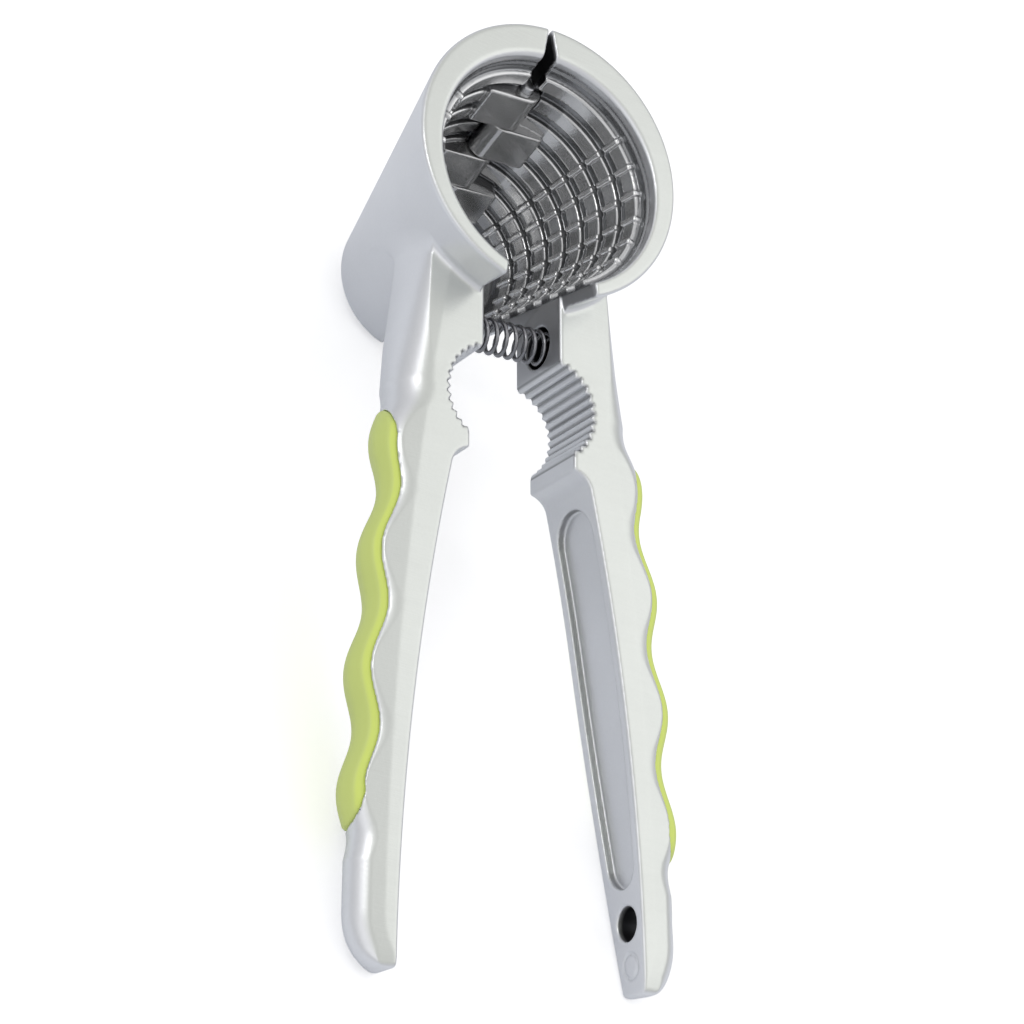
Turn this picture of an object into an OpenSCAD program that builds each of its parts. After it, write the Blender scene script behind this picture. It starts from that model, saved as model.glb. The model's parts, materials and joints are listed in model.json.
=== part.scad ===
/* [Cup] */
// Outer radius of the cup at its mouth
mouth_r = 26.6; // [25:0.2:29]
// Offset of the rim's outer circle from the cup's axis, towards the hinge
mouth_y = 1.2; // [0.4:0.1:1.6]
// Outer radius of the cup at its foot
foot_r = 14.6; // [14.2:0.2:17]
// Offset of the foot's circle from the cup's axis, towards the handles
foot_y = 2; // [1.2:0.1:2.4]
// Height of the cup along its own axis
cup_h = 54; // [51:1:60]
// Radius of the cavity at the mouth
bore_r = 21.9; // [21:0.1:22.4]
// Offset of the cavity's mouth from the cup's axis, towards the handles
bore_y = 0.4; // [0:0.1:0.6]
// Lean of the cavity to the cup's axis, in degrees
bore_lean = 1.2; // [0.8:0.1:1.6]
// Inward slope of the cavity's wall, in degrees
bore_taper = 8.5; // [8.3:0.1:9.2]
// Length that rounds the cavity's wall into its floor
bore_round = 7; // [6:0.5:9]
// Radius that rounds the outer edge of the rim
rim_round = 2; // [1:0.2:3]
// Thickness of the cup's floor
floor_t = 2.5; // [2:0.5:3.5]
// Bevel around the underside of the foot
foot_bevel = 1.2; // [0.6:0.2:2]

/* [Ribs inside the cup] */
// Number of ribs round the cavity
rib_count = 8; // [5:1:8]
// Depth of the first rib below the rim
rib_first = 5.3; // [4.6:0.1:6]
// Spacing of the ribs down the cup
rib_pitch = 5.15; // [4.6:0.05:5.3]
// Width of one rib at its root
rib_w = 3; // [2:0.1:3.4]
// Height of one rib above the cavity wall
rib_h = 1.1; // [0.6:0.1:1.5]

/* [Slot between the halves] */
// Angle of each cut face to the middle plane, in degrees
slot_angle = 10.3; // [10:0.1:11]
// Distance from the pin out to where the two cut faces meet
slot_apex = 7.6; // [7:0.1:8]

/* [Hinge] */
// Distance from the cup's axis to the pin's axis, at the mouth
hinge_y = 21.9; // [21.6:0.1:22.2]
// Slant of the pin to the cup's axis, in degrees
hinge_slant = 14.5; // [14:0.1:15]
// Radius of the hinge pin
pin_r = 1.25; // [0.9:0.05:1.6]
// Clearance of the pin in the knuckles that hold it
press_clear = 0.01; // [0.01:0.01:0.03]
// Clearance of the pin in the knuckles that turn on it
run_clear = 0.06; // [0.04:0.01:0.1]
// Radius of the knuckles
knuckle_r = 3; // [2.7:0.1:3.2]
// Number of knuckles, counted over both halves
knuckle_count = 4; // [2:2:4]
// Length of one knuckle along the pin
knuckle_l = 8.4; // [7:0.1:8.6]
// Depth of the first knuckle below the mouth, along the pin
knuckle_top = 9; // [8:0.2:10]
// Gap between neighbouring knuckles
knuckle_gap = 0.3; // [0.2:0.05:0.5]
// How far the pin stands out above and below the knuckles
pin_out = 1.2; // [0.6:0.1:1.6]
// Clearance round a knuckle in the opposite half
knuckle_clear = 0.35; // [0.3:0.05:0.5]

/* [Neck and jaw] */
// Depth of the handles' upper face below the mouth
handle_drop = 10.3; // [8:0.1:13]
// Thickness of neck and handle, down the cup's axis
handle_t = 15.5; // [14:0.1:17]
// Distance from the middle plane to the necks' facing sides
neck_x = 7.8; // [7.6:0.1:8.6]
// Breadth of the neck beside the jaw
neck_w = 14.7; // [14:0.1:16]
// Radius of the toothed jaw
jaw_r = 9.6; // [9:0.1:10.2]
// Distance of the jaw's centre from the middle plane
jaw_x = 5.4; // [4.8:0.1:6]
// Metal left between spring seat and jaw
jaw_wall = 1.5; // [1:0.1:2.5]
// Height of the jaw's teeth
tooth_h = 0.7; // [0.3:0.1:1]
// Number of teeth along each jaw
tooth_count = 13; // [8:1:16]
// Distance of the lip below the jaw from the middle plane
lip_x = 10.6; // [10.3:0.1:11.4]
// Thickness of that lip along the handle
lip_t = 2.9; // [2.4:0.1:4]

/* [Handles] */
// Length of a handle from the lip to its tip
handle_l = 87.5; // [80:0.5:100]
// Slant of a handle's inner side to the middle plane, in degrees
splay = 6.1; // [5.9:0.1:8]
// How far the inner side bows outwards at its middle
inner_bow = 2.2; // [0:0.1:3]
// How far the outer side bows outwards at its middle
outer_bow = 2; // [1.2:0.1:2.6]
// Breadth of a handle near its tip
tip_w = 8; // [7.4:0.1:8.5]
// Radius that rounds the tip's outer corner
tip_round = 9; // [7:0.1:10]
// Thickness that the underside loses towards the tip
tip_thin = 6.6; // [5:0.1:7.4]
// Length over which the underside thins
thin_l = 53; // [40:1:70]
// Depth of a handle's widest line below its upper face
widest_d = 4; // [3:0.1:4.4]
// Breadth over which the outer side rounds into the upper face
shoulder_w = 5; // [4:0.1:5.6]
// Depth of the long recess in a handle's inner side
recess_d = 1.6; // [0.6:0.1:1.8]
// Metal left in front of and behind that recess
recess_edge = 2.3; // [1.8:0.1:3.2]
// Radius of the hanging hole in the right handle
hang_r = 3; // [2:0.1:3.2]
// Distance from the tip to the centre of the hanging hole
hang_in = 12.5; // [11:0.1:14]

/* [Grips] */
// Height of the finger waves over their mean line
wave_h = 1.15; // [0.4:0.05:1.4]
// Length of one finger wave
wave_pitch = 21; // [18:0.5:24]
// Number of finger waves on a grip
wave_count = 3.55; // [3:0.05:4]
// Depth of the grip's seat below the mean line of the handle's outer side
grip_depth = 5.6; // [5:0.1:6.2]
// How far the grip stands proud of the handle
grip_proud = 0.4; // [0.2:0.1:1]
// Least metal left between the grip's seat and the handle's inner side
grip_wall = 3.4; // [2.6:0.1:3.6]
// Metal shoulder above the grip at its near end
grip_edge = 2.2; // [1.6:0.1:2.6]
// How much narrower that shoulder is at the far end
grip_edge_loss = 1.5; // [0.2:0.1:1.6]
// Metal left below the grip
grip_under = 1.4; // [1:0.1:3]
// Clearance round the grip in its seat
grip_clear = 0.05; // [0.03:0.01:0.1]

/* [Spring] */
// Outer radius of the spring
spring_r = 3.4; // [2.8:0.1:3.6]
// Thickness of the spring's wire
wire_d = 0.85; // [0.6:0.05:1]
// Number of turns
spring_turns = 13; // [10:1:14]
// Clearance round the spring in its seats
seat_clear = 0.5; // [0.4:0.1:0.8]
// Depth of each spring seat
seat_d = 5.6; // [4.5:0.1:6.5]
// Gap between the spring's end and the seat's floor
spring_gap = 0.05; // [0.02:0.01:0.2]

/* [Hidden] */

round_fn = 96;
wire_sides = 8;
wire_steps = 12;
arc_steps = 6;
station_l = 2.6;
big = 200;
edge_bevel = 0.8;

// cup: the outer wall leans more than the cavity, so the wall is thickest at the hinge
cavity_h = cup_h - floor_t;
wall_slope = (mouth_r - foot_r) / cup_h;
shell_lean = atan((mouth_y + foot_y) / cup_h);
function cup_r(depth) = mouth_r - wall_slope * depth;
function cup_near(depth) = cup_r(depth) - mouth_y + (mouth_y + foot_y) * depth / cup_h;
function cavity_at(depth) = bore_r - tan(bore_taper) * depth;
rib_flank = 0.5;
neck_gap = 0.12;

// hinge
knuckle_pitch = knuckle_l + knuckle_gap;
pin_top = knuckle_top - pin_out;
pin_l = knuckle_count * knuckle_pitch - knuckle_gap + 2 * pin_out;
web_w = 8;
web_out = 4;

// neck and jaw
spring_z = -(handle_drop + handle_t / 2);
seat_r = spring_r + seat_clear;
seat_wall = 0.4;
spring_y = -(cup_near(-spring_z) + seat_r + seat_wall);
jaw_top_y = spring_y - seat_r - jaw_wall;
jaw_y = jaw_top_y - sqrt(pow(jaw_r, 2) - pow(neck_x - jaw_x, 2));
jaw_back = jaw_x + jaw_r + edge_bevel;
neck_lap = 1.2;
lip_y = jaw_y - sqrt(pow(jaw_r, 2) - pow(lip_x - jaw_x, 2));
lip_fillet = 3.4;
lip_ease = 0.6;
handle_y = lip_y - lip_t - lip_fillet;

// handles
tip_y = handle_y - handle_l;
inner_x0 = lip_x + lip_fillet;
inner_x1 = inner_x0 + handle_l * tan(splay);
outer_y1 = tip_y + tip_w;
outer_x0 = neck_x + neck_w;
outer_x1 = inner_x1 + tip_w;
function bowed(s, bow) = 4 * bow * s * (1 - s);
function along(y, from, to) = (from - y) / (from - to);
function inner_at(y) = let (s = along(y, handle_y, tip_y))
    inner_x0 + (inner_x1 - inner_x0) * s + bowed(s, inner_bow);
function outer_line(y) = let (s = along(y, jaw_top_y, outer_y1))
    outer_x0 + (outer_x1 - outer_x0) * s + bowed(s, outer_bow);
function thick_at(y) = let (s = max(0, along(y, tip_y + thin_l + tip_w, tip_y + tip_w)))
    handle_t - tip_thin * s * s;
function mid_z(y) = -(handle_drop + thick_at(y) / 2);

// grips
grip_y0 = jaw_y - jaw_r / 2;
grip_y1 = grip_y0 - wave_count * wave_pitch;
crest_y = grip_y0 - wave_pitch / 4;
fade_l = wave_pitch / 4;
function faded(y) = max(0, min(1, (grip_y0 + fade_l - y) / fade_l, (y - grip_y1 + fade_l) / fade_l));
function wave(y) = wave_h * faded(y) * cos(360 * (y - crest_y) / wave_pitch);

// the outer side follows its bowed line and the finger waves, then rounds off at the tip
tip_flat = 2;
function tip_cut(y) = let (e = max(0, min(1, (tip_y + tip_round - y) / tip_round)))
    (tip_w - tip_flat) * (1 - sqrt(1 - e * e));
function outer_at(y) = outer_line(y) + wave(y) - tip_cut(y);

// the section is an oval from the neck, whose widest line moves up to the handle's upper face
function flatness(y) = max(0, min(1, along(y, jaw_top_y, grip_y0 - wave_pitch / 2)));
function widest_at(y) = min(thick_at(y) / 2, handle_t / 2 + (widest_d - handle_t / 2) * flatness(y));
function below_at(y) = thick_at(y) - widest_at(y);
function shoulder_at(y) = handle_t / 2 + (shoulder_w - handle_t / 2) * flatness(y);
function side_rx(y, up) = min(up > 0 ? shoulder_at(y) : below_at(y),
    outer_line(y) - max(inner_at(y), jaw_back) - tip_cut(y) - 2 * edge_bevel);

// spring
spring_l = 2 * (neck_x + seat_d - spring_gap);
coil_r = spring_r - wire_d / 2;

// the part stands on the near edge of its foot and on both handle tips
foot_c = [-(foot_y + foot_r - foot_bevel), -(cup_h - foot_bevel)];
rest_y = [for (s = [0:0.02:1]) tip_y + tip_w * s];
function lean(y) = let (a = -(handle_drop + thick_at(y)) - foot_c[1], b = foot_c[0] - y)
    atan2(a, b) + asin(foot_bevel / norm([a, b]));
tilt = min([for (y = rest_y) lean(y)]);
lift = -(foot_c[0] * sin(tilt) + foot_c[1] * cos(tilt)) + foot_bevel;
function skin_y(t) = (mouth_y + cup_r(t) * cos(shell_lean) - t * sin(shell_lean)) * cos(tilt)
    + (cup_r(t) * sin(shell_lean) + t * cos(shell_lean)) * sin(tilt);
back_y = max(skin_y(rim_round), skin_y(cup_h - foot_bevel));
front_y = tip_y * cos(tilt) + handle_drop * sin(tilt);
mid_y = (back_y + front_y) / 2;

module stand() translate([0, -mid_y, lift]) rotate([tilt, 0, 0]) children();

module on_hinge() translate([0, hinge_y, 0]) rotate([-hinge_slant, 0, 0]) children();

// a closed skin through rings of points, each ring lying in one plane
module loft(rings) {
    n = len(rings[0]);
    m = len(rings);
    sides = [for (i = [0:m - 2], j = [0:n - 1]) let (k = (j + 1) % n, a = i * n, b = (i + 1) * n)
        each [[a + j, a + k, b + k], [a + j, b + k, b + j]]];
    ends = [[for (j = [n - 1:-1:0]) j], [for (j = [0:n - 1]) (m - 1) * n + j]];
    polyhedron(points = [for (r = rings) each r], faces = concat(sides, ends), convexity = 6);
}

function rib_points(i) = let (d = rib_first + i * rib_pitch, a = d - rib_w / 2, b = d + rib_w / 2) [
    [cavity_at(a), -a],
    [cavity_at(a + rib_flank) - rib_h, -(a + rib_flank)],
    [cavity_at(b - rib_flank) - rib_h, -(b - rib_flank)],
    [cavity_at(b), -b]];

// the cup's outer body: a leaning cone, with a rounded rim above and a bevelled foot below
module cup_body() intersection() {
    translate([0, mouth_y, 0]) rotate([-shell_lean, 0, 0])
        translate([0, 0, -cup_h - web_w]) cylinder(h = cup_h + 2 * web_w, $fn = round_fn,
            r1 = cup_r(cup_h + web_w), r2 = cup_r(-web_w));
    translate([0, mouth_y, 0]) rotate_extrude($fn = round_fn) polygon(concat(
        [[0, -cup_h], [2 * mouth_r, -cup_h], [2 * mouth_r, -rim_round]],
        [for (a = [90:-90 / arc_steps:0])
            [mouth_r - rim_round * (1 - sin(a)), -rim_round * (1 - cos(a))]], [[0, 0]]));
    translate([0, -foot_y, -cup_h]) cylinder(h = cup_h + web_w, $fn = round_fn,
        r1 = foot_r - foot_bevel, r2 = foot_r - foot_bevel + cup_h + web_w);
}

module on_bore() translate([0, -bore_y, 0]) rotate([-bore_lean, 0, 0]) children();

// the wall's line from the mouth to the rounding above the floor, and that rounding
function bore_end() = [for (a = [0:90 / arc_steps:90])
    [cavity_at(cavity_h - bore_round) - bore_round * (1 - cos(a)),
     -(cavity_h - bore_round + bore_round * sin(a))]];

module ribbed_bore() on_bore() rotate_extrude($fn = round_fn) polygon(concat(
    [[0, edge_bevel], [cavity_at(-edge_bevel) + 2 * edge_bevel, edge_bevel],
     [cavity_at(edge_bevel), -edge_bevel]],
    [for (i = [0:rib_count - 1]) each rib_points(i)], bore_end(), [[0, -cavity_h]]));

// the same hollow without ribs, a little wider, which keeps the neck out of the cup
module cavity() on_bore() rotate_extrude($fn = round_fn)
    polygon(concat([[0, edge_bevel], [cavity_at(-edge_bevel) + neck_gap, edge_bevel]],
        [for (q = bore_end()) [q[0] + neck_gap, q[1]]], [[0, -cavity_h]]));

// everything on the far side of one cut face, for the half on the side given
module slot_side(side) on_hinge() translate([0, slot_apex, -big / 2]) linear_extrude(big)
    polygon([[0, 0], [side * big * tan(slot_angle), -big], [-side * big, -big],
             [-side * big, big], [0, big]]);

function knuckle_z(i) = -(knuckle_top + knuckle_l + i * knuckle_pitch);
function own(side) = side < 0 ? 0 : 1;

module knuckles(side) intersection() {
    cup_body();
    on_hinge() for (i = [own(side):2:knuckle_count - 1]) translate([0, 0, knuckle_z(i)]) {
        cylinder(r = knuckle_r, h = knuckle_l, $fn = round_fn);
        translate([side < 0 ? -web_w : 0, -knuckle_r, 0])
            cube([web_w, knuckle_r + web_out, knuckle_l]);
    }
}

module knuckle_room(side) on_hinge() for (i = [1 - own(side):2:knuckle_count - 1])
    translate([0, 0, knuckle_z(i) - knuckle_gap])
        cylinder(r = knuckle_r + knuckle_clear, h = knuckle_l + 2 * knuckle_gap, $fn = round_fn);

module pin_bore(clear) on_hinge() translate([0, 0, -big / 2])
    cylinder(r = pin_r + clear, h = big, $fn = round_fn);

module cup_half(side) {
    difference() {
        cup_body();
        ribbed_bore();
        slot_side(side);
        knuckle_room(side);
    }
    knuckles(side);
}

// stations down the handle, closer together than the finger waves need
bar_y0 = -bore_r / 3;
neck_n = ceil((bar_y0 - handle_y) / station_l);
straight_y = tip_y + tip_round;
bar_n = ceil((handle_y - straight_y) / station_l);
bar_ys = concat(
    [for (i = [0:neck_n - 1]) bar_y0 + (handle_y - bar_y0) * i / neck_n],
    [for (i = [0:bar_n]) handle_y + (straight_y - handle_y) * i / bar_n],
    [for (i = [1:arc_steps]) straight_y - tip_round * sin(90 * i / arc_steps)]);

function bar_inner(y) = y > handle_y ? max(inner_x0, jaw_back) : inner_at(y);

// point of the outer side at an angle up from its widest line; below that line the side is flatter
under_form = 4 / 3;
function side_point(y, a, proud) = let (rx = side_rx(y, a), rz = a > 0 ? widest_at(y) : below_at(y))
    let (n = a > 0 ? 1 : 1 + (under_form - 1) * flatness(y))
    [outer_at(y) - rx + (rx + proud) * pow(cos(a), n), y,
     -handle_drop - widest_at(y) + sign(a) * (rz + proud) * pow(abs(sin(a)), n)];

function bar_ring(y) = let (x0 = bar_inner(y), z0 = -handle_drop, z1 = z0 - thick_at(y), b = edge_bevel)
    concat([[x0, y, z1 + b], [x0, y, z0 - b], [x0 + b, y, z0]],
        [for (i = [0:2 * arc_steps]) side_point(y, 90 - i * 90 / arc_steps, 0)],
        [[x0 + b, y, z1]]);

module bar() loft([for (y = bar_ys) bar_ring(y)]);

jaw_a0 = acos((neck_x - jaw_x) / jaw_r);
jaw_a1 = -acos((lip_x - jaw_x) / jaw_r);
tooth_a = (jaw_a0 - jaw_a1) / tooth_count;
function jaw_point(a, r) = [jaw_x + r * cos(a), jaw_y + r * sin(a)];

// neck, jaw and lip, seen down the cup's axis
module neck_outline() polygon(concat(
    [[neck_x, bar_y0], [neck_x, jaw_top_y]],
    [for (i = [0:tooth_count - 1]) let (a = jaw_a0 - i * tooth_a)
        each [jaw_point(a, jaw_r), jaw_point(a - tooth_a / 2, jaw_r - tooth_h)]],
    [jaw_point(jaw_a1, jaw_r)],
    [[lip_x, lip_y - lip_t + lip_ease], [lip_x + lip_ease, lip_y - lip_t]],
    [for (a = [20:20:80])
        [lip_x + lip_ease + (lip_fillet - lip_ease) * sin(a), lip_y - lip_t - lip_fillet * (1 - cos(a))]],
    [[inner_x0, handle_y], [jaw_back + neck_lap, handle_y], [jaw_back + neck_lap, bar_y0]]));

module neck() difference() {
    translate([0, 0, -(handle_drop + handle_t)]) linear_extrude(handle_t) neck_outline();
    translate([0, spring_y, spring_z]) rotate([0, 90, 0])
        cylinder(r = seat_r, h = neck_x + seat_d, $fn = round_fn);
}

// the long recess keeps one depth below the bowed inner side
recess_gap = 3;
recess_y0 = handle_y - recess_gap;
recess_y1 = tip_y + hang_in + hang_r + recess_gap;
recess_n = 14;
end_flat = 0.04;
function recess_hz(y) = let (r = thick_at(y) / 2 - recess_edge, e = min(recess_y0 - y, y - recess_y1))
    e >= r ? r : sqrt(max(end_flat, r * r - pow(r - e, 2)));
function eased(s) = (1 - cos(180 * s)) / 2;
module recess() loft([for (i = [0:recess_n]) let (y = recess_y0 + (recess_y1 - recess_y0)
        * eased(i / recess_n), h = recess_hz(y), x = inner_at(y)) [
    [x - recess_d, y, mid_z(y) - h], [x - recess_d, y, mid_z(y) + h],
    [x + recess_d, y, mid_z(y) + h], [x + recess_d, y, mid_z(y) - h]]]);

// the grip has upright sides and a smooth floor; its top follows the handle's waves
grip_n = 30;
function grip_above(y) = grip_edge - grip_edge_loss * along(y, grip_y0, grip_y1);
function grip_z(y) = -handle_drop - (grip_above(y) + thick_at(y) - grip_under) / 2;
function grip_half(y, grow) = let (e = min(grip_y0 + grow - y, y - grip_y1 + grow),
        r = (thick_at(y) - grip_above(y) - grip_under) / 2 + grow)
    e >= r ? r : sqrt(max(end_flat, r * r - pow(r - e, 2)));
// angle, up from the widest line, at which the outer side reaches a height
function side_angle(y, z, proud) = let (up = z + handle_drop + widest_at(y))
    up > 0 ? asin(up / (widest_at(y) + proud))
    : -asin(pow(-up / (below_at(y) + proud), 1 / (1 + (under_form - 1) * flatness(y))));
function grip_y(i, grow) = grip_y0 + grow + (grip_y1 - grip_y0 - 2 * grow) * eased(i / grip_n);
function grip_floor(y) = max(outer_line(y) - grip_depth, inner_at(y) + grip_wall);

module grip() loft([for (i = [0:grip_n]) let (y = grip_y(i, 0), h = grip_half(y, 0), z = grip_z(y),
        a = side_angle(y, z + h, grip_proud), b = side_angle(y, z - h, grip_proud)) concat(
    [[grip_floor(y), y, z - h], [grip_floor(y), y, z + h]],
    [for (j = [0:2 * arc_steps]) side_point(y, a + (b - a) * j / (2 * arc_steps), grip_proud)])]);

module grip_seat() loft([for (i = [0:grip_n]) let (y = grip_y(i, grip_clear),
        h = grip_half(y, grip_clear), z = grip_z(y), x = grip_floor(y) - grip_clear)
    [[x, y, z - h], [x, y, z + h], [x + handle_t, y, z + h], [x + handle_t, y, z - h]]]);

hang_y = tip_y + hang_in;
module hang_hole() translate([0, hang_y, mid_z(hang_y)]) rotate([0, 90, 0])
    cylinder(r = hang_r, h = big, $fn = round_fn);

// one side of the tool: half a cup, neck, jaw and handle in one casting
module arm(side) {
    difference() {
        union() {
            cup_half(side);
            mirror([side < 0 ? 1 : 0, 0, 0]) difference() {
                union() {
                    bar();
                    neck();
                }
                cavity();
                recess();
                grip_seat();
                if (side > 0) hang_hole();
            }
        }
        pin_bore(side < 0 ? press_clear : run_clear);
    }
}

module left_arm() color("silver") stand() arm(-1);

module right_arm() color("silver") stand() arm(1);

module hinge_pin() color("lightsteelblue") stand() on_hinge()
    translate([0, 0, -(pin_top + pin_l)]) cylinder(r = pin_r, h = pin_l, $fn = round_fn);

function coil_at(a) = let (s = a / (360 * spring_turns))
    [-spring_l / 2 + wire_d / 2 + (spring_l - wire_d) * s, spring_y + coil_r * cos(a),
     spring_z + coil_r * sin(a)];

module spring() color("gainsboro") stand() loft([for (i = [0:spring_turns * wire_steps])
    let (a = i * 360 / wire_steps, c = coil_at(a), out = [0, cos(a), sin(a)])
    [for (j = [0:wire_sides - 1]) let (b = j * 360 / wire_sides)
        c + wire_d / 2 * (out * cos(b) + [sin(b), 0, 0])]]);

module left_grip() color("yellowgreen") stand() mirror([1, 0, 0]) grip();

module right_grip() color("yellowgreen") stand() grip();

left_arm();
right_arm();
hinge_pin();
spring();
left_grip();
right_grip();
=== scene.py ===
import json
import math

import bmesh
import bpy
import numpy as np
from mathutils import Matrix, Vector


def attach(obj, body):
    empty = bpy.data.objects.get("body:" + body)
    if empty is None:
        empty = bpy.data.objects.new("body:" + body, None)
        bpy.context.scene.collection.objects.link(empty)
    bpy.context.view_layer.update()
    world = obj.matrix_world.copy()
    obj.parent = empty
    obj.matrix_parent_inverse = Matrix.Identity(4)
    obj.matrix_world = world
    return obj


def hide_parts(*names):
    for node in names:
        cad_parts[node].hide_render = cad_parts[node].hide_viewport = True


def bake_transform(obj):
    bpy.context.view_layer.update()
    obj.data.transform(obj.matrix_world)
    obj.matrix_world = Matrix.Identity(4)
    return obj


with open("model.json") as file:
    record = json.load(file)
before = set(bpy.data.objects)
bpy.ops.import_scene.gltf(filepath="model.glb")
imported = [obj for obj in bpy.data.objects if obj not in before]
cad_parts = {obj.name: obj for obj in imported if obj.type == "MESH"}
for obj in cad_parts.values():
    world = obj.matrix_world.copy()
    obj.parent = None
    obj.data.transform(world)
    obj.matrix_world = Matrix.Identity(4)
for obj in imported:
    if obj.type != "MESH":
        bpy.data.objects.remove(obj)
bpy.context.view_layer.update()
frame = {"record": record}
record = frame["record"]
mm = 0.001
scene = bpy.context.scene

# Each arm is shaped in the tool's own frame, in millimetres: the cup's mouth at height 0 with its axis
# on Z, the hinge towards +Y and the handles towards -Y. A shape is a function that gives the distance
# to its surface, negative inside. toRow then stands the finished mesh on what the tool rests on.

cup = {
    "height": 54.0,
    "mouthRadius": 26.6,
    "mouthShift": 1.2,  # the rim's circle sits towards the hinge, the foot's towards the handles
    "footRadius": 14.6,
    "footShift": 2.0,
    "rimRound": 0.9,
    "footRound": 1.2,
    "floor": 2.5,
    "boreRadius": 21.9,
    "boreShift": 0.4,
    "boreLean": math.radians(1.2),
    "taper": math.radians(8.5),
    "boreRound": 7.0,
    "chamfer": 0.2,
    "ledgeDepth": 2.1,  # the smooth band under the rim ends in a small ledge
    "ledgeWidth": 0.3,
    "edge": 0.3,
    "blend": 1.6,  # fillet between the cup and the neck
}
cup["outSlope"] = (cup["mouthRadius"] - cup["footRadius"]) / cup["height"]
cup["lean"] = math.atan((cup["mouthShift"] + cup["footShift"]) / cup["height"])
cup["boreDepth"] = cup["height"] - cup["floor"]
cup["barStop"] = cup["boreRadius"] / 3  # how far from the cup's axis the arm's bar ends

foot = next(m for m in record["mounts"] if m["name"] == "foot")
tilt = math.asin(foot["axis"][1])
cupUp = Vector((0, -foot["axis"][1], -foot["axis"][2]))
mouthPlace = Vector((0, foot["pos_m"][1], foot["pos_m"][2])) + cupUp * cup["height"] * mm
toRow = Matrix.Translation(mouthPlace) @ Matrix.Rotation(tilt, 4, "X") @ Matrix.Scale(mm, 4)

camera = {
    "place": (-218.13, -216.93, 350.82),
    "looks": (0.4817, 0.3441, -0.8059),
    "up": (-0.1754, 0.9389, 0.2961),
    "lens": 91.4,
}


def makeCamera():
    data = bpy.data.cameras.new("camera")
    data.lens = camera["lens"]
    data.sensor_width = 36
    obj = bpy.data.objects.new("camera", data)
    turn = Matrix.Rotation(tilt, 3, "X")
    back = -(turn @ Vector(camera["looks"])).normalized()
    side = (turn @ Vector(camera["up"])).cross(back).normalized()
    axes = Matrix((side, back.cross(side), back)).transposed()
    obj.matrix_world = Matrix.Translation(toRow @ Vector(camera["place"])) @ axes.to_4x4()
    scene.collection.objects.link(obj)
    scene.camera = obj


makeCamera()
print("camera")


def roundMax(a, b, radius):
    # where both shapes are, with the edge rounded
    u = np.maximum(a + radius, 0)
    v = np.maximum(b + radius, 0)
    return np.minimum(np.maximum(a, b), -radius) + np.sqrt(u * u + v * v)


def roundMin(a, b, radius):
    # where either shape is, with the corner filled
    return -roundMax(-a, -b, radius)


def stadium(y, z, high, low, middle, half):
    # a long slot with round ends, seen across the arm
    over = np.maximum(np.maximum(low + half - y, y - high + half), 0)
    return np.sqrt(over * over + (z - middle) ** 2) - half


def turned(y, z, angle):
    c, s = math.cos(angle), math.sin(angle)
    return y * c - z * s, y * s + z * c


def cupOutside(x, y, z):
    across, up = turned(y - cup["mouthShift"], z, cup["lean"])
    wall = np.hypot(x, across) - cup["mouthRadius"] - cup["outSlope"] * up
    wall = wall / math.hypot(1, cup["outSlope"])
    return roundMax(roundMax(wall, z, cup["rimRound"]), -z - cup["height"], cup["footRound"])


def boreFrame(x, y, z):
    # radius, height and distance from the wall, about the cavity's own axis
    across, up = turned(y + cup["boreShift"], z, cup["boreLean"])
    r = np.hypot(x, across)
    return r, up, (r - cup["boreRadius"] - math.tan(cup["taper"]) * up) * math.cos(cup["taper"])


def cupInside(x, y, z):
    r, up, wall = boreFrame(x, y, z)
    hollow = roundMax(wall, -cup["boreDepth"] - up, cup["boreRound"])
    band = np.maximum(wall - cup["ledgeWidth"], -cup["ledgeDepth"] - up)
    chamfer = (r - cup["boreRadius"] - cup["ledgeWidth"] - cup["chamfer"] - up) / math.sqrt(2)
    return np.minimum(hollow, np.minimum(band, np.maximum(chamfer, -cup["ledgeDepth"] - up)))


ribs = {
    "count": 8,
    "first": 5.3,
    "pitch": 5.15,
    "width": 3.0,
    "height": 1.1,
    "studs": 6,
    "studStart": math.radians(54.9),  # counted from the hinge
    "studTurn": math.radians(14.87),
    "studWidth": 1.1,
    "studHeight": 0.5,
    "studReach": 0.4,
    "round": 0.25,
}


def cupRibs(x, y, z):
    r, up, wall = boreFrame(x, y, z)
    turn = np.arctan2(np.abs(x), y + cup["boreShift"])
    step = np.clip(np.round((-up - ribs["first"]) / ribs["pitch"]), 0, ribs["count"] - 1)
    off = np.abs(up + ribs["first"] + step * ribs["pitch"]) - ribs["width"] / 2
    band = roundMax(off, -ribs["height"] - wall, ribs["round"])
    nearest = np.clip(np.round((turn - ribs["studStart"]) / ribs["studTurn"]), 0, ribs["studs"] - 1)
    aside = turn - ribs["studStart"] - nearest * ribs["studTurn"]
    across = np.abs(r * np.sin(aside)) - ribs["studWidth"] / 2
    stud = roundMax(across, off - ribs["studReach"], ribs["round"])
    stud = roundMax(stud, -ribs["height"] - ribs["studHeight"] - wall, ribs["round"])
    return np.minimum(band, stud)


hinge = {
    "place": 21.9,  # of the pin, behind the cup's axis, in the mouth's plane
    "slant": math.radians(14.5),
    "apex": 7.6,  # from the pin out to where the cut faces meet
    "slotAngle": math.radians(10.3),
    "pinRadius": 1.25,
    "boreGap": 0.05,
    "radius": 3.0,
    "length": 8.4,  # of one knuckle
    "top": 9.0,
    "knuckles": 4,
    "gap": 0.3,
    "room": 0.35,  # air round the other arm's knuckles
    "webWidth": 8.0,
    "webOut": 4.0,
    "round": 0.3,
}


def hingeFrame(y, z):
    return turned(y - hinge["place"], z, hinge["slant"])


def slotFace(x, along):
    c, s = math.cos(hinge["slotAngle"]), math.sin(hinge["slotAngle"])
    plane = (hinge["apex"] - along) * s - x * c
    return np.maximum(plane, -x)


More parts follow.
